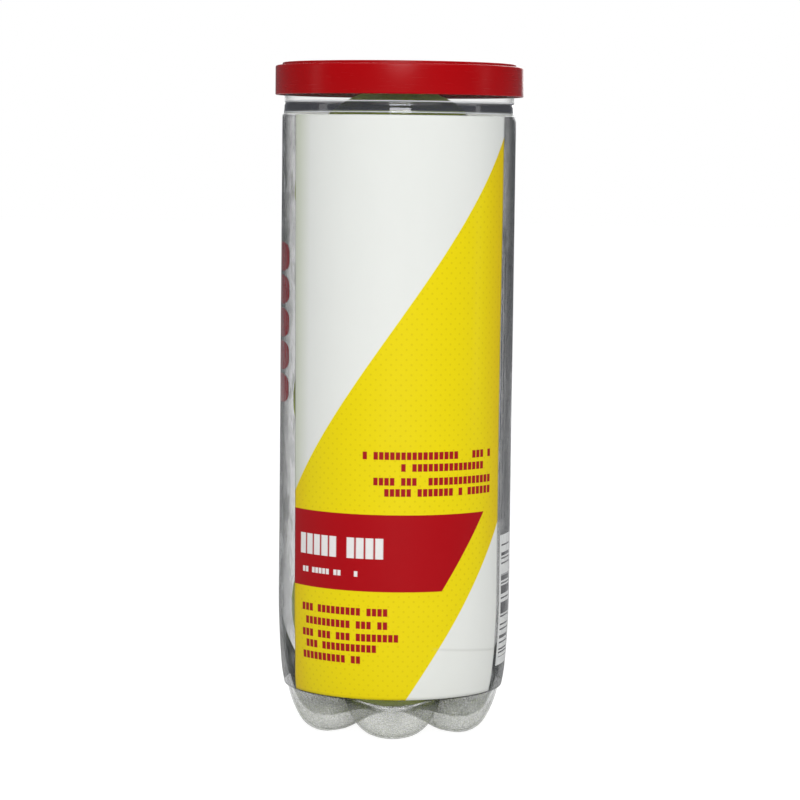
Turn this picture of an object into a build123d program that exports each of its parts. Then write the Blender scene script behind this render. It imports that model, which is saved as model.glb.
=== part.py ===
from build123d import *
from math import asin, cos, pi, sin, sqrt
import os

# Tennis ball can: a clear plastic canister on a petal base, a peel-off metal end seamed on
# its mouth, a snap-on lid, a film label and three pressure-less felt balls.
# Millimetres, +Z up, the can stands on Z = 0 and its axis is the Z axis.

# balls
ball_diameter = 65.6
ball_gap = 0.3            # between one ball and the next
ball_side_room = 3.2      # between a ball and the canister wall
ball_head_room = 0.3      # between the top ball and the tear panel
ball_floor_room = 0.3     # between the bottom ball and the moulding gate
felt_thickness = 2.8
core_wall = 3.3
seam_width = 1.9
seam_recess = 0.4         # seam surface below the felt
seam_waist = 0.25         # how far the two felt lobes wrap round, 0 is a plain circle
seam_points = 40          # points of the seam curve
felt_turn = (45, 0, 0)    # these keep the poles of the spheres off the seam
seam_turn = (45, 10, 0)
ball_turns = [(20, 0, 35), (-65, 15, 110), (100, -20, -40)]

# canister
wall = 0.5
hub_rise = 4.0            # middle of the base above the ground
gate_height = 0.7
gate_radius = 3.5
feet = 6
toe_setback = 9.9         # outer edge of a foot's toe inside the canister radius
toe_length = 5.0
toe_half_width = 2.6
neck_setback = 0.4        # neck radius below the body radius
shoulder_height = 4.0
neck_height = 8.6         # from the shoulder to the flare of the mouth
groove_depth = 0.3
groove_height = 1.4
groove_above_shoulder = 0.5

# double seam between the metal end and the canister
metal = 0.25
seam_play = 0.05          # between the folded layers
seam_height = 3.0
compound_height = 0.4
compound_inset = 0.12
hook_overlap = 1.15
chuck_clearance = 0.075

# peel-off end
countersink_depth = 1.0
aperture_clearance = 0.4  # between a ball and the torn opening
score_gap = 0.1           # between the tear panel and its ring
bead_height = 0.5
bead_width = 2.4
bead_sweep = 130.0

# pull tab
tab_length = 27.0
tab_width = 16.0
tab_nose_width = 13.0
tab_thickness = 1.1
tab_lift = 0.1            # tab above the tear panel
tab_rim = 1.5
tab_web = 0.55
tab_edge_margin = 1.3     # nose inside the tear panel's edge
finger_hole_length = 10.5
finger_hole_end = 2.6
tongue_width = 6.4
tongue_length = 7.6
tongue_thickness = 0.4
tongue_clearance = 0.4
tongue_start = 2.6        # from the nose
rivet_radius = 1.6
rivet_head_radius = 2.5
rivet_head_height = 0.65
rivet_clearance = 0.05

# snap-on lid
lid_wall = 0.7
lid_side_clearance = 0.2
lid_seat_clearance = 0.1
lid_plate = 0.8
lid_depth = 8.4           # lid rim below the underside of its plate
lid_bead = 0.15
lid_bead_height = 0.9
lid_corner = 0.9
stack_ring_height = 0.9
stack_ring_width = 2.2
stack_ring_setback = 2.2  # ring inside the lid's outer radius

# film label
film = 0.14
film_clearance = 0.1
label_bottom = 13.5       # at a level of the feet
label_above_shoulder = 1.6
label_bridge_z = 30.0     # where the film leaves the feet for the straight wall
label_bridge = 0.2        # how far it is drawn in there

# radii that follow from the sizes above
ball_radius = ball_diameter / 2
felt_inner = ball_radius - felt_thickness
bottle_inner = ball_radius + ball_side_room
body_radius = bottle_inner + wall
neck_radius = body_radius - neck_setback
aperture_radius = ball_radius + aperture_clearance
panel_radius = aperture_radius - score_gap

# heights that follow from the sizes above
gate_top = hub_rise + wall + gate_height
dome_centre = hub_rise + body_radius
pitch = ball_diameter + ball_gap
ball_low_z = gate_top + ball_floor_room + ball_radius
ball_z = [ball_low_z + pitch * k for k in range(3)]
panel_floor = ball_z[2] + ball_radius + ball_head_room
panel_top = panel_floor + metal


def ring(profile_points, radii, thickness):
    """Sheet ring from the middle line of its section, rounded at each inner point."""
    with BuildPart() as made:
        with BuildSketch(Plane.XZ):
            with BuildLine():
                FilletPolyline(*profile_points, radius=radii)
            trace(line_width=thickness)
        revolve(axis=Axis.Z)
    return made.part


def bead_section(radius, width, base, height, sweep):
    """Half-oval ridge on a flat sheet, swept about Z round the -X side."""
    with BuildPart() as made:
        with BuildSketch(Plane.XZ):
            with Locations((radius, base)):
                Ellipse(width / 2, height)
                Rectangle(width, height, align=(Align.CENTER, Align.MAX), mode=Mode.SUBTRACT)
        revolve(axis=Axis.Z, revolution_arc=sweep)
    return made.part.rotate(Axis.Z, 180 - sweep / 2)


# double seam: radii of the five layers, from the outside in
chuck_r = neck_radius - wall - chuck_clearance - metal / 2
end_inner_r = chuck_r + 0.87
body_wall_r = end_inner_r + metal / 2 + seam_play + wall / 2
cover_hook_r = body_wall_r + wall / 2 + seam_play + metal / 2
body_hook_r = cover_hook_r + metal / 2 + seam_play + wall / 2
end_outer_r = body_hook_r + wall / 2 + seam_play + metal / 2
seam_outer = end_outer_r + metal / 2

# double seam: heights
flare_start = panel_floor + 1.4
flare_rise = (body_wall_r - (neck_radius - wall / 2)) * 1.06
curl_z = flare_start + flare_rise - 0.3
seam_top = curl_z - metal / 2 + seam_height
end_arch_z = seam_top - metal / 2
compound_top = end_arch_z - metal / 2
body_arch_z = compound_top - compound_height - wall / 2
body_hook_z = curl_z + metal / 2 + 0.275
cover_hook_z = body_hook_z + hook_overlap
neck_top = flare_start
shoulder_z = neck_top - neck_height - shoulder_height


# ---- canister ------------------------------------------------------------------------

# one row per level of a foot: height, outer setback, inner radius, half width at the
# flank as a share of the spacing of the feet, corner radius
toe_radius = body_radius - toe_setback
toe_heel = toe_radius - toe_length
toe_share = asin(toe_half_width / toe_radius) * feet / pi
foot_rows = [
    (0.0, toe_setback, toe_heel, toe_share, 1.2),
    (0.7, 7.9, toe_heel - 3.0, 0.33, 2.4),
    (2.4, 5.9, 14.0, 0.43, 4.0),
    (6.0, 3.9, 9.0, 0.56, 5.0),
    (label_bottom, 1.85, 7.0, 0.70, 5.5),
    (22.0, 0.8, 6.0, 0.79, 5.5),
    (31.0, 0.45, 6.0, 0.86, 5.0),
    (dome_centre - 4.0, 0.5, 6.0, 0.88, 5.0),
]


def foot_reach(row):
    return body_radius - row[1]


def foot_half_width(row):
    return foot_reach(row) * sin(row[3] * pi / feet)


def foot(inset):
    """One foot of the base, on +X, its walls moved in by inset."""
    with BuildPart() as made:
        for row in foot_rows:
            reach = foot_reach(row) - inset
            half = foot_half_width(row) - inset
            heel = row[2] + inset
            corner = min(row[4], half * 0.6)
            flank_x = sqrt(reach**2 - half**2)
            heel_half = half * 0.55
            with BuildSketch(Plane.XY.offset(row[0] + inset)) as level:
                with BuildLine():
                    Line((heel, -heel_half), (flank_x, -half))
                    ThreePointArc((flank_x, -half), (reach, 0), (flank_x, half))
                    Line((flank_x, half), (heel, heel_half))
                    Line((heel, heel_half), (heel, -heel_half))
                make_face()
                fillet(level.vertices().sort_by(Axis.X)[-2:], corner)
                fillet(level.vertices().sort_by(Axis.X)[:2], corner * 0.45)
        loft()
    return made.part


def vessel(inset, middle):
    """Solid shape of the canister below the shoulder, its walls moved in by inset."""
    radius = body_radius - inset
    gate_edge = gate_radius + 0.4
    gate_edge_z = dome_centre - sqrt(radius**2 - gate_edge**2)
    with BuildPart() as made:
        with BuildSketch(Plane.XZ):
            with BuildLine():
                Polyline((gate_edge, gate_edge_z), (gate_radius, middle), (0, middle), (0, shoulder_z))
                Polyline((0, shoulder_z), (radius, shoulder_z), (radius, dome_centre))
                RadiusArc((radius, dome_centre), (gate_edge, gate_edge_z), radius)
            make_face()
        revolve(axis=Axis.Z)
        petal = foot(inset)
        with PolarLocations(0, feet, start_angle=-90):
            add(petal)
    return made.part


mid_r = body_radius - wall / 2
neck_mid = neck_radius - wall / 2
groove_z = shoulder_z + shoulder_height + groove_above_shoulder
groove_mid = groove_z + groove_height / 2
mouth_points = [
    (mid_r, shoulder_z),
    (mid_r, shoulder_z + 0.8),
    (neck_mid, shoulder_z + shoulder_height),
    (neck_mid, groove_z),
    (neck_mid - groove_depth, groove_mid),
    (neck_mid, groove_z + groove_height),
    (neck_mid, flare_start),
    (body_wall_r, flare_start + flare_rise),
    (body_wall_r, body_arch_z),
    (body_hook_r, body_arch_z),
    (body_hook_r, body_hook_z),
]
with BuildPart() as can_body:
    add(vessel(0, hub_rise))
    add(vessel(wall, gate_top), mode=Mode.SUBTRACT)
    add(ring(mouth_points, [0.6, 0.6, 0.3, 0.4, 0.3, 0.45, 0.45, 0.3, 0.3], wall))
can_body.part.label = "can_body"


# ---- metal end -----------------------------------------------------------------------

sheet_z = panel_floor + metal / 2
channel_z = sheet_z - countersink_depth
channel_start = aperture_radius + 1.2
channel_end = chuck_r - 0.1
end_points = [
    (aperture_radius, sheet_z),
    (channel_start - 0.3, sheet_z),
    (channel_start, channel_z),
    (channel_end, channel_z),
    (chuck_r, flare_start + 0.15),
    (end_inner_r, flare_start + 0.15 + flare_rise),
    (end_inner_r, end_arch_z),
    (end_outer_r, end_arch_z),
    (end_outer_r, curl_z),
    (cover_hook_r, curl_z),
    (cover_hook_r, cover_hook_z),
]
end_ring = ring(end_points, [0.15, 0.15, 0.15, 0.3, 0.3, 0.2, 0.2, 0.2, 0.2], metal)
end_ring.label = "end_ring"

with BuildPart() as sealing_compound:
    with BuildSketch(Plane.XZ):
        with Locations(((body_wall_r + body_hook_r) / 2, compound_top)):
            Rectangle(
                body_hook_r - body_wall_r + wall - 2 * compound_inset,
                compound_height,
                align=(Align.CENTER, Align.MAX),
            )
    revolve(axis=Axis.Z)
sealing_compound.part.label = "sealing_compound"

# tear panel: a thin disc with two pressed beads on the side away from the tab
bead_radii = [panel_radius - 5.0, panel_radius - 10.0]
with BuildPart() as tear_panel:
    with BuildSketch(Plane.XY.offset(panel_floor)):
        Circle(panel_radius)
    extrude(amount=metal)
    for radius in bead_radii:
        crest = bead_section(radius, bead_width, panel_top, bead_height, bead_sweep)
        hollow = bead_section(
            radius, bead_width - 2 * metal, panel_floor, bead_height, bead_sweep - 4.0
        )
        add(crest)
        add(hollow, mode=Mode.SUBTRACT)
tear_panel.part.label = "tear_panel"


# ---- pull tab ------------------------------------------------------------------------

# the tab lies along X with its nose towards the rim at +X
tab_floor = panel_top + tab_lift
tab_nose = panel_radius - tab_edge_margin
tab_end = tab_nose - tab_length
nose_centre = tab_nose - tab_nose_width / 2
loop_centre = tab_end + tab_width / 2
tongue_end = tab_nose - tongue_start - tongue_length
rivet_x = tongue_end + tongue_length / 2
hole_start = tab_end + finger_hole_end
hole_width = tab_width - 2 * finger_hole_end

with BuildPart() as pull_tab:
    with BuildSketch(Plane.XY.offset(tab_floor)):
        with Locations((nose_centre, 0)):
            Circle(tab_nose_width / 2)
        with Locations((loop_centre, 0)):
            Circle(tab_width / 2)
        make_hull()
    extrude(amount=tab_thickness)
    fillet(pull_tab.edges().group_by(Axis.Z)[-1], tab_thickness * 0.4)
    fillet(pull_tab.edges().group_by(Axis.Z)[0], tab_thickness * 0.3)
    with BuildSketch(Plane.XY.offset(tab_floor)):
        with Locations((hole_start, 0)):
            RectangleRounded(
                finger_hole_length,
                hole_width,
                hole_width * 0.44,
                align=(Align.MIN, Align.CENTER),
            )
        with Locations((tongue_end - tongue_clearance, 0)):
            Rectangle(
                tongue_length + 2 * tongue_clearance,
                tongue_width + 2 * tongue_clearance,
                align=(Align.MIN, Align.CENTER),
            )
    extrude(amount=tab_thickness, mode=Mode.SUBTRACT)
    with BuildSketch(Plane.XY.offset(tab_floor + tab_web)):
        with Locations((nose_centre, 0)):
            Circle(tab_nose_width / 2 - tab_rim)
        with Locations((hole_start + finger_hole_length + tab_rim, 0)):
            Rectangle(1.0, tab_nose_width - 2 * tab_rim, align=(Align.MIN, Align.CENTER))
        make_hull()
    extrude(amount=tab_thickness, mode=Mode.SUBTRACT)
pull_tab.part.label = "pull_tab"

with BuildPart() as tab_tongue:
    with BuildSketch(Plane.XY.offset(panel_top)):
        with Locations((tongue_end, 0)):
            RectangleRounded(
                tongue_length, tongue_width, 1.2, align=(Align.MIN, Align.CENTER)
            )
        with Locations((rivet_x, 0)):
            Circle(rivet_radius + rivet_clearance, mode=Mode.SUBTRACT)
    extrude(amount=tongue_thickness)
tab_tongue.part.label = "tab_tongue"

with BuildPart() as rivet:
    with BuildSketch(Plane.XY.offset(panel_top)):
        with Locations((rivet_x, 0)):
            Circle(rivet_radius)
    extrude(amount=tongue_thickness)
    with BuildSketch(Plane.XY.offset(panel_top + tongue_thickness)):
        with Locations((rivet_x, 0)):
            Circle(rivet_head_radius)
    extrude(amount=rivet_head_height)
    fillet(rivet.edges().group_by(Axis.Z)[-1], rivet_head_height * 0.7)
rivet.part.label = "rivet"


# ---- lid -----------------------------------------------------------------------------

lid_inner = seam_outer + lid_side_clearance
lid_outer = lid_inner + lid_wall
lid_seat = seam_top + lid_seat_clearance
lid_top = lid_seat + lid_plate
lid_rim = lid_seat - lid_depth
stack_outer = lid_outer - stack_ring_setback
stack_inner = stack_outer - stack_ring_width
bead_top = curl_z - metal / 2 - 0.15
bead_mid = bead_top - lid_bead_height / 2

with BuildPart() as overcap:
    with BuildSketch(Plane.XZ):
        with BuildLine():
            FilletPolyline(
                (0, lid_top),
                (stack_inner, lid_top),
                (stack_inner, lid_top + stack_ring_height),
                (stack_outer, lid_top + stack_ring_height),
                (stack_outer, lid_top),
                (lid_outer, lid_top),
                (lid_outer, lid_rim),
                (lid_inner, lid_rim),
                (lid_inner, bead_top - lid_bead_height),
                (lid_inner - lid_bead, bead_mid),
                (lid_inner, bead_top),
                (lid_inner, lid_seat),
                (0, lid_seat),
                radius=[0.3, 0.35, 0.35, 0.3, lid_corner * 0.7, 0.3, 0.2, 0.1, 0.3, 0.1, 0.05],
            )
            Line((0, lid_seat), (0, lid_top))
        make_face()
    revolve(axis=Axis.Z)
overcap.part.label = "overcap"


# ---- label ---------------------------------------------------------------------------

film_offset = film_clearance + film / 2
label_top = shoulder_z + label_above_shoulder
low_rows = [row for row in foot_rows if label_bottom <= row[0] < label_bridge_z]
with BuildPart() as label:
    with BuildSketch(Plane.XZ):
        with BuildLine():
            Spline(
                *[(foot_reach(row) + film_offset, row[0]) for row in low_rows],
                (body_radius + film_offset - label_bridge, label_bridge_z),
                (body_radius + film_offset, dome_centre),
                tangents=[(1.6, 8.5), (0, 1)],
            )
            Line(
                (body_radius + film_offset, dome_centre),
                (body_radius + film_offset, label_top),
            )
        trace(line_width=film)
    revolve(axis=Axis.Z)
label.part.label = "label"


# ---- balls ---------------------------------------------------------------------------


def seam_point(turn, shift, radius):
    """Point of the seam curve on a sphere, moved sideways by a small angle."""
    share = 1 - seam_waist
    point = Vector(
        share * cos(turn) + seam_waist * cos(3 * turn),
        share * sin(turn) - seam_waist * sin(3 * turn),
        2 * sqrt(share * seam_waist) * sin(2 * turn),
    )
    heading = Vector(
        -share * sin(turn) - 3 * seam_waist * sin(3 * turn),
        share * cos(turn) - 3 * seam_waist * cos(3 * turn),
        4 * sqrt(share * seam_waist) * cos(2 * turn),
    )
    sideways = point.cross(heading).normalized()
    return (point + sideways * shift).normalized() * radius


def seam_edge(shift, radius):
    turns = [2 * pi * k / seam_points for k in range(seam_points)]
    return Spline(
        *[seam_point(turn, shift, radius) for turn in turns],
        periodic=True,
        mode=Mode.PRIVATE,
    ).edge()


def seam_cut(shift):
    """Ruled band from inside the felt to outside it, along one side of the seam."""
    return Face.make_surface_from_curves(
        seam_edge(shift, felt_inner * 0.9), seam_edge(shift, ball_radius * 1.1)
    )


def cut_shell(outer, sphere_turn):
    """Hollow ball cut along both sides of the seam: the strip, then the two lobes."""
    with BuildPart() as shell:
        Sphere(outer, rotation=sphere_turn)
        Sphere(felt_inner, rotation=sphere_turn, mode=Mode.SUBTRACT)
    found = ShapeList()
    for side_piece in shell.part.split(first_cut, keep=Keep.ALL):
        for piece in side_piece.split(second_cut, keep=Keep.ALL):
            found.extend(piece.solids())
    return sorted(found, key=lambda piece: -len(piece.faces()))


half_seam = seam_width / 2 / (ball_radius - felt_thickness / 2)
first_cut = seam_cut(half_seam)
second_cut = seam_cut(-half_seam)
felt_a, felt_b = cut_shell(ball_radius, felt_turn)[1:]
seam = cut_shell(ball_radius - seam_recess, seam_turn)[0]

with BuildPart() as core:
    Sphere(felt_inner)
    Sphere(felt_inner - core_wall, mode=Mode.SUBTRACT)

ball_pieces = {
    "core_lower": core.part.split(Plane.XY, keep=Keep.BOTTOM),
    "core_upper": core.part.split(Plane.XY, keep=Keep.TOP),
    "felt_a": felt_a,
    "felt_b": felt_b,
    "seam": seam,
}


# ---- write every piece ---------------------------------------------------------------

pieces = [
    can_body.part,
    end_ring,
    sealing_compound.part,
    label.part,
    tear_panel.part,
    rivet.part,
    tab_tongue.part,
    pull_tab.part,
    overcap.part,
]
for ball, height, turn in zip(["ball_low", "ball_mid", "ball_top"], ball_z, ball_turns):
    for piece_name, shape in ball_pieces.items():
        placed = Location((0, 0, height), turn) * shape
        placed.label = f"{ball}_{piece_name}"
        pieces.append(placed)

os.makedirs("parts", exist_ok=True)
for piece in pieces:
    export_step(piece, f"parts/{piece.label}.step")
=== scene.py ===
import bmesh
import bpy
from math import atan2, cos, degrees, pi, radians, sin, sqrt, tan
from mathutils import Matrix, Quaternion, Vector, kdtree, noise


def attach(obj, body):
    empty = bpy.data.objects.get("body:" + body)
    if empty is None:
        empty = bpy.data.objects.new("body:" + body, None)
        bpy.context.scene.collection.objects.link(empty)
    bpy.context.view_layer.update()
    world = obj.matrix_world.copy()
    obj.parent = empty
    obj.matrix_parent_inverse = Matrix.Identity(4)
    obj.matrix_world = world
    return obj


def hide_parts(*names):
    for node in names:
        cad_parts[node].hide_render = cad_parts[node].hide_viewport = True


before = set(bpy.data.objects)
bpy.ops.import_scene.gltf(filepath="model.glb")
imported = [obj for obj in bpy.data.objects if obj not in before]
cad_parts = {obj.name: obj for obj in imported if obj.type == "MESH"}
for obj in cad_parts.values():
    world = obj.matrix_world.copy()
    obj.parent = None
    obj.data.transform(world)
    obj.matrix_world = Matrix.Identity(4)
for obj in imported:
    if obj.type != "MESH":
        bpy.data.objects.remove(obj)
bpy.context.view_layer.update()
mm = 0.001

can = {
    "wall": 0.5,
    "bodyRadius": 36.5,
    "neckRadius": 36.1,
    "domeCentre": 40.5,
    "shoulder": 192.0,
    "feet": 6,
    "gateUnder": 4.0,     # height of the base's middle, outside and inside
    "gateInside": 5.2,
    # (out from the neck, height) round the curled flange
    "flange": [(0.85, 205.55), (0.85, 206.9), (1.2, 206.9), (1.2, 205.6), (1.7, 205.6), (1.7, 207.42),
               (0.35, 207.42), (0.35, 205.45)],
}


# ---- shader helpers: one wrapped socket, and one builder for a finish


class Wire:
    def __init__(self, finish, socket):
        self.finish = finish
        self.socket = socket

    def math(self, operation, *others, clamp=False):
        settings = {"operation": operation, "use_clamp": clamp}
        return self.finish.node("ShaderNodeMath", settings, self, *others)

    def __add__(self, other):
        return self.math("ADD", other)

    __radd__ = __add__

    def __sub__(self, other):
        return self.math("SUBTRACT", other)

    def __rsub__(self, other):
        return self.finish.node("ShaderNodeMath", {"operation": "SUBTRACT"}, other, self)

    def __mul__(self, other):
        return self.math("MULTIPLY", other)

    __rmul__ = __mul__

    def __truediv__(self, other):
        return self.math("DIVIDE", other)

    def __pow__(self, other):
        return self.math("POWER", other)

    def __abs__(self):
        return self.math("ABSOLUTE")

    def fraction(self):
        return self.math("FRACT")

    def above(self, level, softness=0.08):  # 1 where the value is over level, with a soft edge
        return ((self - level) / softness).math("ADD", 0.5, clamp=True)

    def below(self, level, softness=0.08):
        return ((level - self) / softness).math("ADD", 0.5, clamp=True)

    def between(self, low, high, softness=0.08):
        return self.above(low, softness) * self.below(high, softness)


class Finish:
    def __init__(self, name, fixed):
        self.material = bpy.data.materials.new(name)
        self.material.use_nodes = True
        self.tree = self.material.node_tree
        self.shader = self.tree.nodes["Principled BSDF"]
        for key, value in fixed.items():
            self.give(self.shader.inputs[key], value)

    def give(self, socket, value):
        if isinstance(value, Wire):
            self.tree.links.new(value.socket, socket)
        elif isinstance(value, tuple) and len(value) == 3 and socket.type == "RGBA":
            socket.default_value = (*value, 1.0)
        else:
            socket.default_value = value

    def node(self, kind, settings, *values, output=0, **named):
        made = self.tree.nodes.new(kind)
        for key, value in settings.items():
            setattr(made, key, value)
        for index, value in enumerate(values):
            if value is not None:
                self.give(made.inputs[index], value)
        for key, value in named.items():
            self.give(made.inputs[key.replace("_", " ")], value)
        return Wire(self, made.outputs[output])

    def mix(self, mask, low, high):
        return self.node(
            "ShaderNodeMix", {"data_type": "RGBA"}, mask, None, None, None, None, None, low, high, output=2
        )

    def place(self):
        return self.node("ShaderNodeTexCoord", {}, output=3)

    def axes(self):
        split = self.node("ShaderNodeSeparateXYZ", {}, self.place())
        outputs = split.socket.node.outputs
        return [Wire(self, outputs[k]) for k in range(3)]

    def stretched(self, scale):
        return self.node("ShaderNodeMapping", {}, self.place(), Scale=scale)

    def noise(self, vector, scale, detail=3.0, rough=0.5):
        return self.node(
            "ShaderNodeTexNoise", {}, Vector=vector, Scale=scale, Detail=detail, Roughness=rough
        )

    def feed(self, **wires):
        for key, value in wires.items():
            self.give(self.shader.inputs[key.replace("_", " ")], value)

    def bump(self, height, distance, strength=1.0, onto=None):
        more = {} if onto is None else {"Normal": onto}
        return self.node("ShaderNodeBump", {}, Height=height, Distance=distance, Strength=strength, **more)


# ---- mesh helpers


def addPiece(name, mesh, finish):
    piece = bpy.data.objects.new(name, mesh)
    bpy.context.scene.collection.objects.link(piece)
    mesh.materials.append(finish.material)
    for face in mesh.polygons:
        face.use_smooth = True
    return piece


def addMesh(name, points, faces, finish):
    mesh = bpy.data.meshes.new(name)
    mesh.from_pydata([(x * mm, y * mm, z * mm) for x, y, z in points], [], faces)
    mesh.validate()
    mesh.update()
    return addPiece(name, mesh, finish)


def sweepRows(rows, closedAcross):
    # faces between rows of points that each go all the way round
    count = len(rows[0])
    faces = []
    last = len(rows) if closedAcross else len(rows) - 1
    for r in range(last):
        a = r * count
        b = (r + 1) % len(rows) * count
        for k in range(count):
            n = (k + 1) % count
            faces.append((a + k, a + n, b + n, b + k))
    return [p for row in rows for p in row], faces


def capEnds(points, faces, count, firstHeight, lastHeight):
    # closes the first and the last row with a fan to the axis
    tail = len(points) - count
    points += [(0.0, 0.0, firstHeight), (0.0, 0.0, lastHeight)]
    for k in range(count):
        n = (k + 1) % count
        faces.append((n, k, tail + count))
        faces.append((tail + k, tail + n, tail + count + 1))


def turned(profile, steps):
    return [
        [(r * cos(2 * pi * k / steps), r * sin(2 * pi * k / steps), z) for k in range(steps)]
        for r, z in profile
    ]


def roundCorners(points, radii, steps):
    # closed outline in (r, z) with an arc of steps + 1 points at each corner
    out = []
    count = len(points)
    for k in range(count):
        here = Vector(points[k])
        back = (Vector(points[k - 1]) - here).normalized()
        on = (Vector(points[(k + 1) % count]) - here).normalized()
        half = back.angle(on) / 2
        reach = radii[k] / tan(half)
        start = here + back * reach
        end = here + on * reach
        centre = here + (back + on).normalized() * (radii[k] / sin(half))
        for s in range(steps + 1):
            spot = (start + (end - start) * (s / steps) - centre).normalized() * radii[k] + centre
            out.append((spot.x, spot.y))
    return out


def smoothStep(x):
    x = max(0.0, min(1.0, x))
    return x * x * (3 - 2 * x)


def along(points, x):
    # smooth curve through (x, y) points
    for k in range(len(points) - 1):
        x0, y0 = points[k]
        x1, y1 = points[k + 1]
        if x <= x1 or k == len(points) - 2:
            slope = (y1 - y0) / (x1 - x0)
            before = slope if k == 0 else (y1 - points[k - 1][1]) / (x1 - points[k - 1][0])
            after = slope if k == len(points) - 2 else (points[k + 2][1] - y0) / (points[k + 2][0] - x0)
            t = max(0.0, min(1.0, (x - x0) / (x1 - x0)))
            h = x1 - x0
            return (
                (2 * t**3 - 3 * t**2 + 1) * y0
                + (t**3 - 2 * t**2 + t) * h * before
                + (3 * t**2 - 2 * t**3) * y1
                + (t**3 - t**2) * h * after
            )


# ---- finishes


def clearPlastic():
    finish = Finish("clearPlastic", {"Roughness": 0.05, "IOR": 1.5, "Specular IOR Level": 0.9})
    rim = finish.node("ShaderNodeLayerWeight", {}, output=1, Blend=0.5)
    v = finish.axes()[2] * 1000.0
    haze = finish.noise(finish.stretched((1.0, 1.0, 0.5)), 60.0, 4.0)
    ripple = finish.noise(finish.stretched((1.0, 1.0, 0.25)), 90.0, 2.0)
    streak = finish.noise(finish.stretched((0.4, 0.4, 9.0)), 55.0, 4.0)
    shoulder = v.between(194.7, 197.5, 0.5)   # painted shade: a dark band under the neck where the shoulder bends the light
    # painted highlight: two thin bright lines above and below the dark band
    shine = v.between(197.55, 197.9, 0.2) + v.between(194.2, 194.5, 0.2)
    foot = v.below(9.5, 7.0)   # the petal base is cloudier than the wall, and its whitish mottle is painted highlight
    cloud = finish.noise(finish.stretched((1.0, 1.0, 0.7)), 170.0, 5.0, 0.6)
    # painted reflection: the wall's colour goes dark grey towards its outline
    tone = finish.mix(rim**2.0, (0.42, 0.45, 0.42), (0.03, 0.033, 0.036))
    sandGlint = finish.noise(finish.place(), 1500.0, 3.0).above(0.54, 0.14)
    tone = finish.mix(foot * 0.65, tone, (0.62, 0.64, 0.58))
    # painted highlight: whitish mottle over the cloudy petal base
    tone = finish.mix(foot * (cloud.above(0.52, 0.2) * 0.6 + sandGlint * 0.4), tone, (0.95, 0.96, 0.92))
    tone = finish.mix(shoulder, tone, (0.05, 0.052, 0.065))
    tone = finish.mix(shine, tone, (0.95, 0.97, 1.0))
    finish.feed(
        Base_Color=tone,
        Alpha=(0.02 + 0.05 * haze + 0.6 * rim**6.0 + shoulder * (0.42 + 0.4 * streak) + shine * 0.45
               + foot * (0.03 + 0.26 * cloud + 0.2 * sandGlint)),
        Normal=finish.bump(ripple, 0.0006, 0.35, onto=finish.bump(cloud * foot, 0.0012, 0.5)),
    )
    return finish


def lidPlastic():
    finish = Finish("lidPlastic", {"IOR": 1.5, "Specular IOR Level": 0.14, "Coat Weight": 0.02,
                                   "Coat Roughness": 0.18})
    mottle = finish.noise(finish.place(), 38.0, 4.0)
    scuff = finish.noise(finish.stretched((1.0, 1.0, 14.0)), 160.0, 6.0, 0.65)
    fine = finish.noise(finish.place(), 2600.0, 2.0)
    finish.feed(
        Base_Color=finish.mix(mottle, (0.35, 0.0008, 0.002), (0.42, 0.0015, 0.004)),
        Roughness=0.2 + 0.12 * scuff,
        Normal=finish.bump(scuff, 0.00012, 0.3, onto=finish.bump(fine, 0.00003, 0.4)),
    )
    return finish


def feltCloth():
    finish = Finish("feltCloth", {"Roughness": 0.95, "Sheen Weight": 0.55, "Sheen Roughness": 0.45,
                                  "Sheen Tint": (0.92, 1.0, 0.55), "Specular IOR Level": 0.15})
    tuft = finish.noise(finish.place(), 420.0, 6.0, 0.7)
    cloud = finish.noise(finish.place(), 90.0, 3.0)
    tone = finish.mix(tuft, (0.44, 0.58, 0.008), (0.80, 0.93, 0.045))
    strand = finish.noise(finish.stretched((1.0, 3.0, 1.0)), 1500.0, 3.0)
    finish.feed(
        Base_Color=finish.mix(cloud * 0.5, tone, (0.72, 0.78, 0.06)),
        Normal=finish.bump(strand, 0.00025, 0.7, onto=finish.bump(tuft, 0.0006, 0.8)),
    )
    return finish


def seamRubber():
    finish = Finish("seamRubber", {"Specular IOR Level": 0.3})
    grain = finish.noise(finish.place(), 500.0, 4.0)
    finish.feed(
        Base_Color=finish.mix(grain, (0.72, 0.74, 0.64), (0.84, 0.85, 0.76)),
        Roughness=0.55 + 0.2 * grain,
        Normal=finish.bump(grain, 0.0001, 0.6),
    )
    return finish


def coreRubber():
    finish = Finish("coreRubber", {"Specular IOR Level": 0.3})
    grain = finish.noise(finish.place(), 300.0, 5.0)
    finish.feed(
        Base_Color=finish.mix(grain, (0.035, 0.034, 0.032), (0.07, 0.066, 0.06)),
        Roughness=0.7 + 0.2 * grain,
        Normal=finish.bump(grain, 0.00015, 0.6),
    )
    return finish


def rolledMetal(name, dark, light):
    finish = Finish(name, {"Metallic": 1.0, "Specular IOR Level": 0.5})
    grain = finish.noise(finish.stretched((1.0, 40.0, 1.0)), 140.0, 5.0, 0.6)
    mark = finish.noise(finish.place(), 700.0, 3.0)
    finish.feed(
        Base_Color=finish.mix(grain, dark, light),
        Roughness=0.2 + 0.16 * grain + 0.06 * mark,
        Normal=finish.bump(grain, 0.00004, 0.5),
    )
    return finish


def sealRubber():
    finish = Finish("sealRubber", {"Specular IOR Level": 0.3})
    grain = finish.noise(finish.place(), 900.0, 3.0)
    finish.feed(
        Base_Color=finish.mix(grain, (0.62, 0.61, 0.55), (0.72, 0.71, 0.66)),
        Roughness=0.6 + 0.2 * grain,
        Normal=finish.bump(grain, 0.00008, 0.5),
    )
    return finish


# ---- printed film: everything is placed by u, the distance round the can from its front in mm,
# and v, the height in mm

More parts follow.
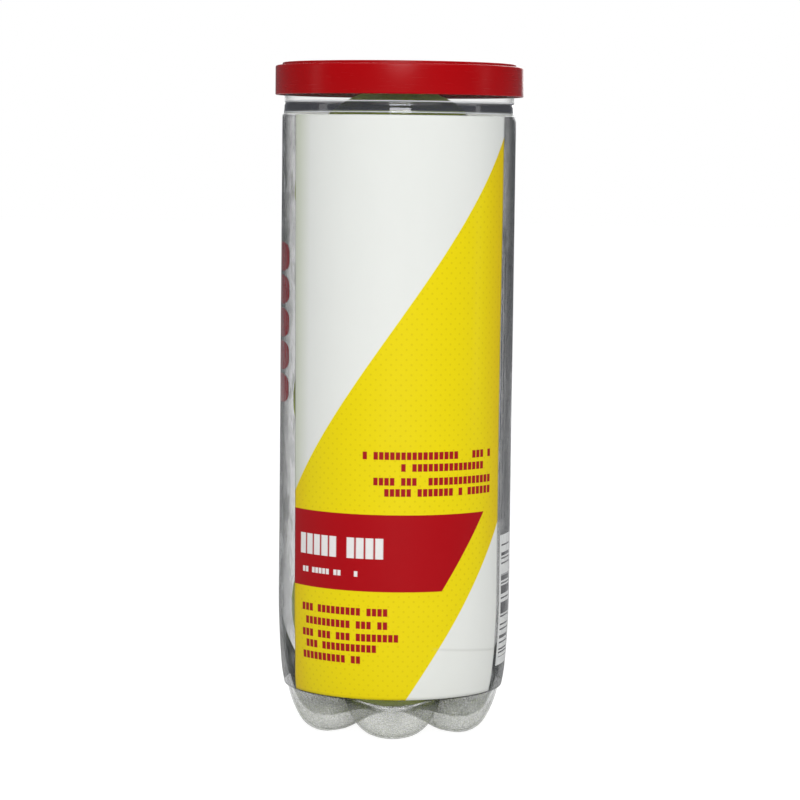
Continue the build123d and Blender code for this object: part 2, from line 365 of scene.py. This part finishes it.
sleeve = {
    "radius": 36.72,
    "bottom": 13.6,
    "top": 193.6,
    "thick": 0.05,
    "panelLift": 0.05,
    "panelEdges": [(13.5, -38.7, 38.0), (30.0, -36.8, 39.0), (105.0, -37.2, 39.0), (193.7, -38.4, 39.8)],
    "bandTop": (130.0, 1.441),   # v = first + second * u along the upper edge of the yellow
    "bandFoot": (7.4, 1.55),     # and along its lower edge
    "dotPitch": 3.1,
    "flag": (47.9, 71.7, 31.0, 1.5),   # low v, high v, then its slanted end: v = high + (u - third) * fourth
    "rearLines": [(89.9, -11.0, 34.0), (86.3, 1.5, 34.0), (82.0, -7.5, 34.0), (78.6, -3.8, 34.0)],
    "lowLines": [(41.5, -32.3, -2.5), (37.4, -32.3, -2.5), (33.5, -32.3, 1.8), (30.1, -32.3, -5.0),
                 (26.4, -32.3, -10.5)],
    "lineHalf": 1.18,
    "barPitch": 1.7,
    "title": [(61.2, -33.5, -18.3), (61.2, -15.2, -3.0)],
    "titleHalf": 3.2,
    "titlePitch": 3.05,
    "underTitle": [(53.2, -32.2, -9.8)],
    "underHalf": 0.85,
    "underPitch": 1.4,
    "card": (41.0, 53.0, 21.5, 63.0),        # u from and to, v from and to
    "cardBars": (42.4, 51.6, 24.0, 60.5),
    "blocks": (103.0, 154.5),                # v from and to
    "blockPitch": 10.3,
    "blockCentre": -50.0,
    "blockHalf": 7.8,
    "around": 360,
    "rows": 150,
    "panelAcross": 120,
    "panelUp": 180,
    "panelBottom": 14.0,
    "panelThick": 0.035,
}
filmProfile = [(13.5, 34.72), (17.5, 35.42), (22.0, 35.86), (30.0, 36.38), (40.5, 36.72), (60.0, 36.72),
               (192.0, 36.72), (194.0, 36.66)]


def filmRadius(v):
    return along(filmProfile, v)


def roundTheCan(finish):
    x, y, z = finish.axes()
    return x.math("ARCTAN2", 0.0 - y) * sleeve["radius"], z * 1000.0


def wordBars(finish, u, v, lines, half, pitch, gaps=0.17):
    # rows of plain bars, with some left out at random so that they fall into groups
    mask = 0.0
    cell = (u / pitch).math("FLOOR")
    bar = (u / pitch).fraction().between(0.1, 0.9, 0.12)
    for row, (height, start, end) in enumerate(lines):
        pick = finish.node(
            "ShaderNodeTexWhiteNoise", {"noise_dimensions": "2D"},
            finish.node("ShaderNodeCombineXYZ", {}, cell, float(row * 7 + 3)),
        )
        stroke = bar * pick.above(gaps, 0.001)
        whole = u.between(round(start / pitch) * pitch, round(end / pitch) * pitch)
        mask = mask + stroke * whole * abs(v - height).below(half)
    return mask


def panelPrint():
    finish = Finish("panelPrint", {"IOR": 1.45, "Specular IOR Level": 0.14, "Coat Roughness": 0.12})
    u, v = roundTheCan(finish)
    first, rise = sleeve["bandTop"]
    foot, footRise = sleeve["bandFoot"]
    yellow = (u * rise + first - v).above(0.0, 0.35) * (v - u * footRise - foot).above(0.0, 0.35)
    low, high, tip, lean = sleeve["flag"]
    flag = v.between(low, high, 0.15) * (v - (u - tip) * lean - high).above(0.0, 0.3)
    dotU = ((u + v) / sleeve["dotPitch"]).fraction() - 0.5
    dotV = ((u - v) / sleeve["dotPitch"]).fraction() - 0.5
    dots = (dotU * dotU + dotV * dotV).below(0.022, 0.02)
    shade = finish.noise(finish.stretched((1.0, 1.0, 0.3)), 45.0, 3.0)
    white = finish.mix(shade, (0.76, 0.78, 0.74), (0.83, 0.84, 0.80))
    # painted shade: the white goes greenish grey towards the panel's left side
    side = u.below(-33.0, 6.0)
    white = finish.mix(side * 0.55, white, (0.55, 0.60, 0.42))
    # painted shade: the yellow turns darker and more orange towards both sides of the can
    yellowEdgeShade = finish.mix(abs(u).above(33.0, 9.0) * 0.5, (0.83, 0.67, 0.002), (0.74, 0.47, 0.002))
    yellowEdgeShade = finish.mix(dots * 0.35, yellowEdgeShade, (0.60, 0.42, 0.0))
    tone = finish.mix(yellow, white, yellowEdgeShade)
    tone = finish.mix(flag, tone, (0.40, 0.0, 0.004))
    ink = wordBars(finish, u, v, sleeve["rearLines"] + sleeve["lowLines"], sleeve["lineHalf"],
                   sleeve["barPitch"])
    tone = finish.mix(ink, tone, (0.36, 0.005, 0.01))
    title = wordBars(finish, u, v, sleeve["title"], sleeve["titleHalf"], sleeve["titlePitch"],
                     gaps=-1.0)   # no bar left out
    under = wordBars(finish, u, v, sleeve["underTitle"], sleeve["underHalf"], sleeve["underPitch"])
    tone = finish.mix(title + under, tone, (0.82, 0.80, 0.78))
    # a crease in the panel: bumped, and painted shade darkens the colour along it
    creaseWithShade = (v - 31.3 + u * 0.1).between(-0.35, 0.35, 0.5) * u.above(14.0, 4.0)
    wave = finish.noise(finish.stretched((1.0, 1.0, 0.35)), 55.0, 2.0)
    finish.feed(
        Base_Color=finish.mix(creaseWithShade * 0.25, tone, (0.45, 0.45, 0.42)),
        Roughness=0.36 + 0.14 * shade,
        Coat_Weight=0.03 + 0.08 * wave,
        Normal=finish.bump(wave + creaseWithShade * 0.4, 0.0007, 0.28),
    )
    return finish


def clearFilm():
    # clear sleeve: crinkled, with plain red blocks on the side, fine bars and a block of bars
    finish = Finish("clearFilm", {"IOR": 1.5, "Specular IOR Level": 0.6})
    u, v = roundTheCan(finish)
    crinkle = finish.noise(finish.stretched((1.0, 1.0, 0.45)), 130.0, 6.0, 0.62)
    broad = finish.noise(finish.stretched((1.0, 1.0, 0.22)), 48.0, 3.0)
    rim = finish.node("ShaderNodeLayerWeight", {}, output=1, Blend=0.5)
    blockLow, blockHigh = sleeve["blocks"]
    lobe = (v / sleeve["blockPitch"]).fraction() * 2.0 - 1.0
    lean = (u - sleeve["blockCentre"]) / sleeve["blockHalf"]
    blocks = (lean * lean + lobe**4.0 * 1.6).below(1.0, 0.12) * v.between(blockLow, blockHigh, 0.15)
    cardLeft, cardRight, cardLow, cardHigh = sleeve["card"]
    card = u.between(cardLeft, cardRight, 0.1) * v.between(cardLow, cardHigh, 0.1)
    pick = finish.node("ShaderNodeTexWhiteNoise", {"noise_dimensions": "1D"}, None, (v * 1.9).math("FLOOR"))
    barLeft, barRight, barLow, barHigh = sleeve["cardBars"]
    bars = card * pick.above(0.5, 0.01)
    bars = bars * u.between(barLeft, barRight, 0.1) * v.between(barLow, barHigh, 0.1)
    rowPick = finish.noise(finish.place(), 900.0, 1.0)
    rows = (u / 2.3).fraction().between(0.15, 0.7, 0.1) * u.between(40.0, 54.0) * v.between(68.0, 152.0)
    rows = rows * rowPick.above(0.42, 0.03)
    # painted reflection: the film's colour goes near black towards its outline
    tone = finish.mix(rim**2.0, (0.13, 0.14, 0.14), (0.012, 0.014, 0.016))
    # painted highlight: the crinkle crests are lightened
    tone = finish.mix(crinkle.above(0.6, 0.12) * 0.6, tone, (0.86, 0.88, 0.88))
    tone = finish.mix(blocks, tone, (0.22, 0.003, 0.008))
    tone = finish.mix(card, tone, (0.80, 0.81, 0.79))
    tone = finish.mix(bars + rows, tone, (0.02, 0.02, 0.025))
    darkStripReflection = u.between(38.0, 56.0, 5.0)   # a darker strip beside the panel: painted dark reflection
    tone = finish.mix(darkStripReflection * 0.5 * (1.0 - card), tone, (0.05, 0.055, 0.06))
    # painted shade: the crinkle troughs are made more opaque and darker
    veil = 0.06 + 0.26 * darkStripReflection + 0.24 * crinkle.above(0.58, 0.1) + 0.1 * crinkle.below(0.4, 0.1)
    veil = veil + 0.75 * rim**4.5
    ink = blocks.math("MAXIMUM", card + rows * 0.8)
    finish.feed(
        Base_Color=tone,
        Roughness=0.12 + 0.2 * broad,
        Alpha=veil.math("MAXIMUM", ink),
        Normal=finish.bump(crinkle, 0.0011, 0.75, onto=finish.bump(broad, 0.002, 0.4)),
    )
    return finish


# ---- canister

petal = {
    # foot outline from the hub to the wall, (radius, height)
    "outline": [(0.0, 4.0), (5.0, 3.9), (9.0, 3.5), (13.0, 2.7), (18.0, 1.1), (21.6, 0.12), (24.4, 0.0),
                (26.4, 0.06), (28.4, 0.7), (30.6, 2.4), (32.6, 6.0), (33.9, 9.8), (34.7, 13.5),
                (35.75, 22.0), (36.2, 31.0), (36.42, 36.0), (36.5, 40.5)],
    "halfShare": 29.6,     # degrees from the middle of a foot to the valley beside it
    "padRound": 0.38,      # a foot is rounder near the floor than where it meets the wall
    "wallRound": 0.2,
    "padTilt": radians(32),
    "wallTilt": radians(52),
    "around": 360,
    "rows": 60,
}


def petalRadius(angle, tilt, radius):
    # distance from the dome's centre, for a direction tilt up from straight down
    share = 360.0 / can["feet"]
    off = abs((degrees(angle) + 90.0 + share / 2) % share - share / 2)
    climb = smoothStep((tilt - petal["padTilt"]) / (petal["wallTilt"] - petal["padTilt"]))
    roundness = petal["padRound"] + (petal["wallRound"] - petal["padRound"]) * climb
    lobe = max(0.0, 1.0 - (off / petal["halfShare"]) ** 2) ** roundness
    return radius + lobe * along(bulge, tilt)


bulge = []
for r, z in petal["outline"]:
    depth = can["domeCentre"] - z
    bulge.append((atan2(r, depth), sqrt(r * r + depth * depth) - can["bodyRadius"]))


def bottleRows(inset):
    steps = petal["around"]
    rows = []
    for k in range(1, petal["rows"] + 1):
        tilt = pi / 2 * k / petal["rows"]
        row = []
        for s in range(steps):
            angle = 2 * pi * s / steps
            reach = petalRadius(angle, tilt, can["bodyRadius"] - inset)
            row.append((reach * sin(tilt) * cos(angle), reach * sin(tilt) * sin(angle),
                        can["domeCentre"] - reach * cos(tilt)))
        rows.append(row)
    return rows


def makeCanister(finish):
    body = can["bodyRadius"]
    neck = can["neckRadius"]
    wall = can["wall"]
    top = can["shoulder"]
    outside = [(body, 60.0), (body, 120.0), (body, 180.0), (body, top), (body - 0.03, top + 0.7),
               (body - 0.2, top + 2.2), (neck + 0.03, top + 3.5), (neck, top + 4.2),
               (neck, top + 4.5), (neck - 0.1, top + 4.8), (neck - 0.28, top + 5.1),
               (neck - 0.28, top + 5.3), (neck - 0.1, top + 5.6), (neck, top + 5.9),
               (neck, top + 12.6)]
    inside = [(r - wall, z) for r, z in reversed(outside)]
    flange = [(neck + out, z) for out, z in can["flange"]]
    steps = petal["around"]
    rows = bottleRows(0.0) + turned(outside + flange + inside, steps) + bottleRows(wall)[::-1]
    points, faces = sweepRows(rows, False)
    capEnds(points, faces, steps, can["gateUnder"], can["gateInside"])
    piece = addMesh("canisterShell", points, faces, finish)
    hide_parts("can_body")
    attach(piece, "can")


def makeSleeve(filmFinish, printFinish):
    steps = sleeve["around"]
    count = sleeve["rows"]
    heights = [sleeve["bottom"] + (sleeve["top"] - sleeve["bottom"]) * k / count for k in range(count + 1)]
    rows = []
    for lift, order in ((0.0, heights), (sleeve["thick"], heights[::-1])):
        for v in order:
            row = []
            for s in range(steps):
                angle = 2 * pi * s / steps
                spot = Vector((cos(angle) * 5, sin(angle) * 5, v * 0.06))
                free = min(1.0, max(0.0, 0.55 + sin(angle)))   # loose where no panel lies on it
                r = filmRadius(v) - 0.02 + lift + 0.05 * noise.noise(spot * 2.1) * free
                row.append((r * cos(angle), r * sin(angle), v))
            rows.append(row)
    points, faces = sweepRows(rows, True)
    film = addMesh("filmSleeve", points, [tuple(reversed(f)) for f in faces], filmFinish)
    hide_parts("label")
    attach(film, "can")

    across = sleeve["panelAcross"]
    up = sleeve["panelUp"]
    base = sleeve["panelBottom"]
    leftEdge = [(v, a) for v, a, b in sleeve["panelEdges"]]
    rightEdge = [(v, b) for v, a, b in sleeve["panelEdges"]]
    points = []
    for layer in (0.0, sleeve["panelThick"]):
        for j in range(up + 1):
            v = base + (sleeve["top"] - 0.1 - base) * j / up
            for i in range(across + 1):
                u = along(leftEdge, v) + (along(rightEdge, v) - along(leftEdge, v)) * i / across
                angle = u / sleeve["radius"] - pi / 2
                r = filmRadius(v) + sleeve["thick"] + sleeve["panelLift"] + layer
                r += 0.03 * noise.noise(Vector((u * 0.12, v * 0.03, 4.0)))
                points.append((r * cos(angle), r * sin(angle), v))
    size = (across + 1) * (up + 1)
    faces = []
    for j in range(up):
        for i in range(across):
            a = j * (across + 1) + i
            b = a + across + 1
            faces.append((a + 1, a, b, b + 1))
            faces.append((size + a, size + a + 1, size + b + 1, size + b))
    border = list(range(across + 1))
    border += [j * (across + 1) + across for j in range(1, up + 1)]
    border += [up * (across + 1) + i for i in range(across - 1, -1, -1)]
    border += [j * (across + 1) for j in range(up - 1, 0, -1)]
    for a, b in zip(border, border[1:] + border[:1]):
        faces.append((a, b, b + size, a + size))
    panel = addMesh("printedPanel", points, faces, printFinish)
    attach(panel, "can")


# ---- balls

ball = {
    "radius": 32.8,
    "waist": 0.25,
    "seamHalf": 0.95,
    "seamRadius": 32.25,
    "centres": {"ball_low": 38.3, "ball_mid": 104.2, "ball_top": 170.1},
    "turns": {"ball_low": (20, 0, 35), "ball_mid": (-65, 15, 110), "ball_top": (100, -20, -40)},
    "nap": 0.22,
    "grooveDepth": 1.0,
    "grooveHalf": 0.75,
    "grooveSoft": 1.3,
    "seamSamples": 720,
    "seamSteps": 320,
    # (share of the half width, height over the seam's radius) across the strip
    "seamSection": [(-1.0, -0.9), (-0.8, -0.12), (0.0, 0.06), (0.8, -0.12), (1.0, -0.9), (0.0, -1.0)],
}


def seamSpot(turn):
    share = 1 - ball["waist"]
    waist = ball["waist"]
    return Vector((
        share * cos(turn) + waist * cos(3 * turn),
        share * sin(turn) - waist * sin(3 * turn),
        2 * sqrt(share * waist) * sin(2 * turn),
    ))


def spinOf(body):
    x, y, z = (radians(a) for a in ball["turns"][body])
    return Quaternion((1, 0, 0), x) @ Quaternion((0, 1, 0), y) @ Quaternion((0, 0, 1), z)


def feltCover(body, finish):
    samples = ball["seamSamples"]
    tree = kdtree.KDTree(samples)
    for k in range(samples):
        tree.insert(seamSpot(2 * pi * k / samples), k)
    tree.balance()
    cover = bpy.data.meshes.new(body + "Cover")
    shape = bmesh.new()
    bmesh.ops.create_icosphere(shape, subdivisions=7, radius=1.0)
    lift = Vector((0.0, 0.0, ball["centres"][body]))
    spin = spinOf(body)
    seed = Vector((ball["centres"][body], 3.0, 1.0))
    for vert in shape.verts:
        way = vert.co.normalized()
        far = tree.find(way)[2] * ball["radius"]
        nap = noise.noise(way * 26 + seed) * 0.5 + noise.noise(way * 75 + seed) * 0.5
        r = ball["radius"] - ball["nap"] + ball["nap"] * nap
        r -= ball["grooveDepth"] * (1.0 - smoothStep((far - ball["grooveHalf"]) / ball["grooveSoft"]))
        vert.co = (spin @ (way * r) + lift) * mm
    shape.to_mesh(cover)
    shape.free()
    piece = addPiece(body + "Cover", cover, finish)
    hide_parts(body + "_felt_a", body + "_felt_b")
    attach(piece, body)


def seamStrip(body, finish):
    count = ball["seamSteps"]
    lift = Vector((0.0, 0.0, ball["centres"][body]))
    rows = []
    for across, proud in ball["seamSection"]:
        row = []
        for k in range(count):
            turn = 2 * pi * k / count
            spot = seamSpot(turn)
            ahead = (seamSpot(turn + 0.01) - seamSpot(turn - 0.01)).normalized()
            side = spot.cross(ahead).normalized()
            r = ball["seamRadius"] + proud
            way = (spot * r + side * across * ball["seamHalf"]).normalized() * r
            row.append(tuple(spinOf(body) @ way + lift))
        rows.append(row)
    points, faces = sweepRows(rows, True)
    piece = addMesh(body + "Seam", points, faces, finish)
    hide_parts(body + "_seam")
    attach(piece, body)


# ---- lid

lid = {
    # section from the top round to the underside; a flat fan of faces closes each end to the axis
    "outline": [(2.0, 208.97), (34.6, 208.97), (34.6, 209.87), (36.8, 209.87), (36.8, 208.97),
                (38.99, 208.97), (38.99, 199.77), (38.3, 199.77), (38.3, 204.02), (38.15, 204.47),
                (38.3, 204.92), (38.3, 208.17), (2.0, 208.17)],
    "rounds": [0.05, 0.3, 0.35, 0.35, 0.25, 0.6, 0.28, 0.2, 0.1, 0.2, 0.1, 0.05, 0.05],
    "around": 256,
}


def makeLid(finish):
    corner = 6   # points that roundCorners gives each corner
    outline = roundCorners(lid["outline"], lid["rounds"], corner - 1)[corner:-corner]
    outline = [lid["outline"][0]] + outline + [lid["outline"][-1]]
    points, faces = sweepRows(turned(outline, lid["around"]), False)
    capEnds(points, faces, lid["around"], outline[0][1], outline[-1][1])
    piece = addMesh("lidShell", points, [tuple(reversed(f)) for f in faces], finish)
    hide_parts("overcap")
    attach(piece, "overcap")


# ---- put it together

print("finishes")
clearFinish = clearPlastic()
metalFinish = rolledMetal("endMetal", (0.66, 0.67, 0.68), (0.80, 0.81, 0.82))
tabFinish = rolledMetal("tabMetal", (0.72, 0.72, 0.74), (0.86, 0.86, 0.88))
coreFinish = coreRubber()
finishes = {
    "end_ring": metalFinish, "tear_panel": metalFinish, "rivet": metalFinish, "tab_tongue": metalFinish,
    "pull_tab": tabFinish, "sealing_compound": sealRubber(),
}
feltFinish = feltCloth()
seamFinish = seamRubber()
for body in ball["centres"]:
    finishes[body + "_core_lower"] = coreFinish
    finishes[body + "_core_upper"] = coreFinish
for node, finish in finishes.items():
    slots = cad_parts[node].material_slots
    for slotItem in slots:
        slotItem.material = finish.material

print("canister and sleeve")
makeCanister(clearFinish)
makeSleeve(clearFilm(), panelPrint())
print("balls")
for body in ball["centres"]:
    feltCover(body, feltFinish)
    seamStrip(body, seamFinish)
print("lid")
makeLid(lidPlastic())

# ---- camera, floor and light

print("camera, floor and light")
studio = {
    "eyeHeight": 0.1829,
    "distance": 0.877,
    "aim": (0.00127, 0.0, 0.1038),
    "lens": 124.7,
    "roll": 0.66,
    "lampAim": (0.0, 0.0, 0.1),
    "floorHalf": 6000.0,
}

camera = bpy.data.objects.new("camera", bpy.data.cameras.new("camera"))
camera.data.lens = studio["lens"]
camera.data.sensor_width = 36.0
camera.data.clip_start = 0.01
eye = Vector((studio["aim"][0], -studio["distance"], studio["eyeHeight"]))
look = (Vector(studio["aim"]) - eye).to_track_quat("-Z", "Y")
camera.location = eye
camera.rotation_mode = "QUATERNION"
camera.rotation_quaternion = look @ Quaternion((0, 0, 1), radians(studio["roll"]))
bpy.context.scene.collection.objects.link(camera)
bpy.context.scene.camera = camera

floorFinish = Finish("floorPaint", {"Base Color": (0.75, 0.75, 0.75), "Roughness": 0.8})
glow = floorFinish.node("ShaderNodeEmission", {}, (1.0, 1.0, 1.0), 1.2)
direct = floorFinish.node("ShaderNodeLightPath", {})
painted = Wire(floorFinish, floorFinish.shader.outputs[0])
blend = floorFinish.node("ShaderNodeMixShader", {}, direct * 0.8)   # the camera sees it nearly white
for index, part in ((1, painted), (2, glow)):
    floorFinish.give(blend.socket.node.inputs[index], part)
floorFinish.give(floorFinish.tree.nodes["Material Output"].inputs["Surface"], blend)
half = studio["floorHalf"]
floor = addMesh("floor", [(-half, -half, 0), (half, -half, 0), (half, half, 0), (-half, half, 0)],
                [(0, 1, 2, 3)], floorFinish)

world = bpy.data.worlds.new("studio")
bpy.context.scene.world = world
world.use_nodes = True
tree = world.node_tree
back = tree.nodes["Background"]
seen = tree.nodes.new("ShaderNodeBackground")
seen.inputs["Color"].default_value = (1.0, 1.0, 1.0, 1.0)
seen.inputs["Strength"].default_value = 1.0
back.inputs["Color"].default_value = (0.9, 0.93, 1.0, 1.0)
back.inputs["Strength"].default_value = 0.2
path = tree.nodes.new("ShaderNodeLightPath")
join = tree.nodes.new("ShaderNodeMixShader")
tree.links.new(path.outputs["Is Camera Ray"], join.inputs["Fac"])
tree.links.new(back.outputs["Background"], join.inputs[1])
tree.links.new(seen.outputs["Background"], join.inputs[2])
tree.links.new(join.outputs["Shader"], tree.nodes["World Output"].inputs["Surface"])

lamps = [
    # place, width, height, watts
    ("frontSoft", (0.03, -1.3, 0.75), 0.5, 0.7, 9.8),
    ("leftStrip", (-0.95, -0.15, 0.35), 0.16, 0.9, 0.6),
    ("rightStrip", (0.95, -0.1, 0.35), 0.12, 0.9, 0.5),
    ("topSoft", (0.0, 0.2, 1.3), 0.8, 0.6, 3.4),
    ("backSoft", (0.15, 1.3, 0.55), 0.6, 0.7, 5.0),
]
for name, place, width, height, power in lamps:
    light = bpy.data.lights.new(name, "AREA")
    light.shape = "RECTANGLE"
    light.size = width
    light.size_y = height
    light.energy = power
    lamp = bpy.data.objects.new(name, light)
    lamp.location = place
    lamp.rotation_euler = (Vector(studio["lampAim"]) - Vector(place)).to_track_quat("-Z", "Y").to_euler()
    lamp.visible_camera = False
    bpy.context.scene.collection.objects.link(lamp)

sun = bpy.data.objects.new("evenSun", bpy.data.lights.new("evenSun", "SUN"))
sun.data.energy = 0.84
sun.data.angle = radians(60)
sun.rotation_euler = (radians(48), 0.0, radians(8))
bpy.context.scene.collection.objects.link(sun)
bpy.context.scene.view_settings.view_transform = "Standard"
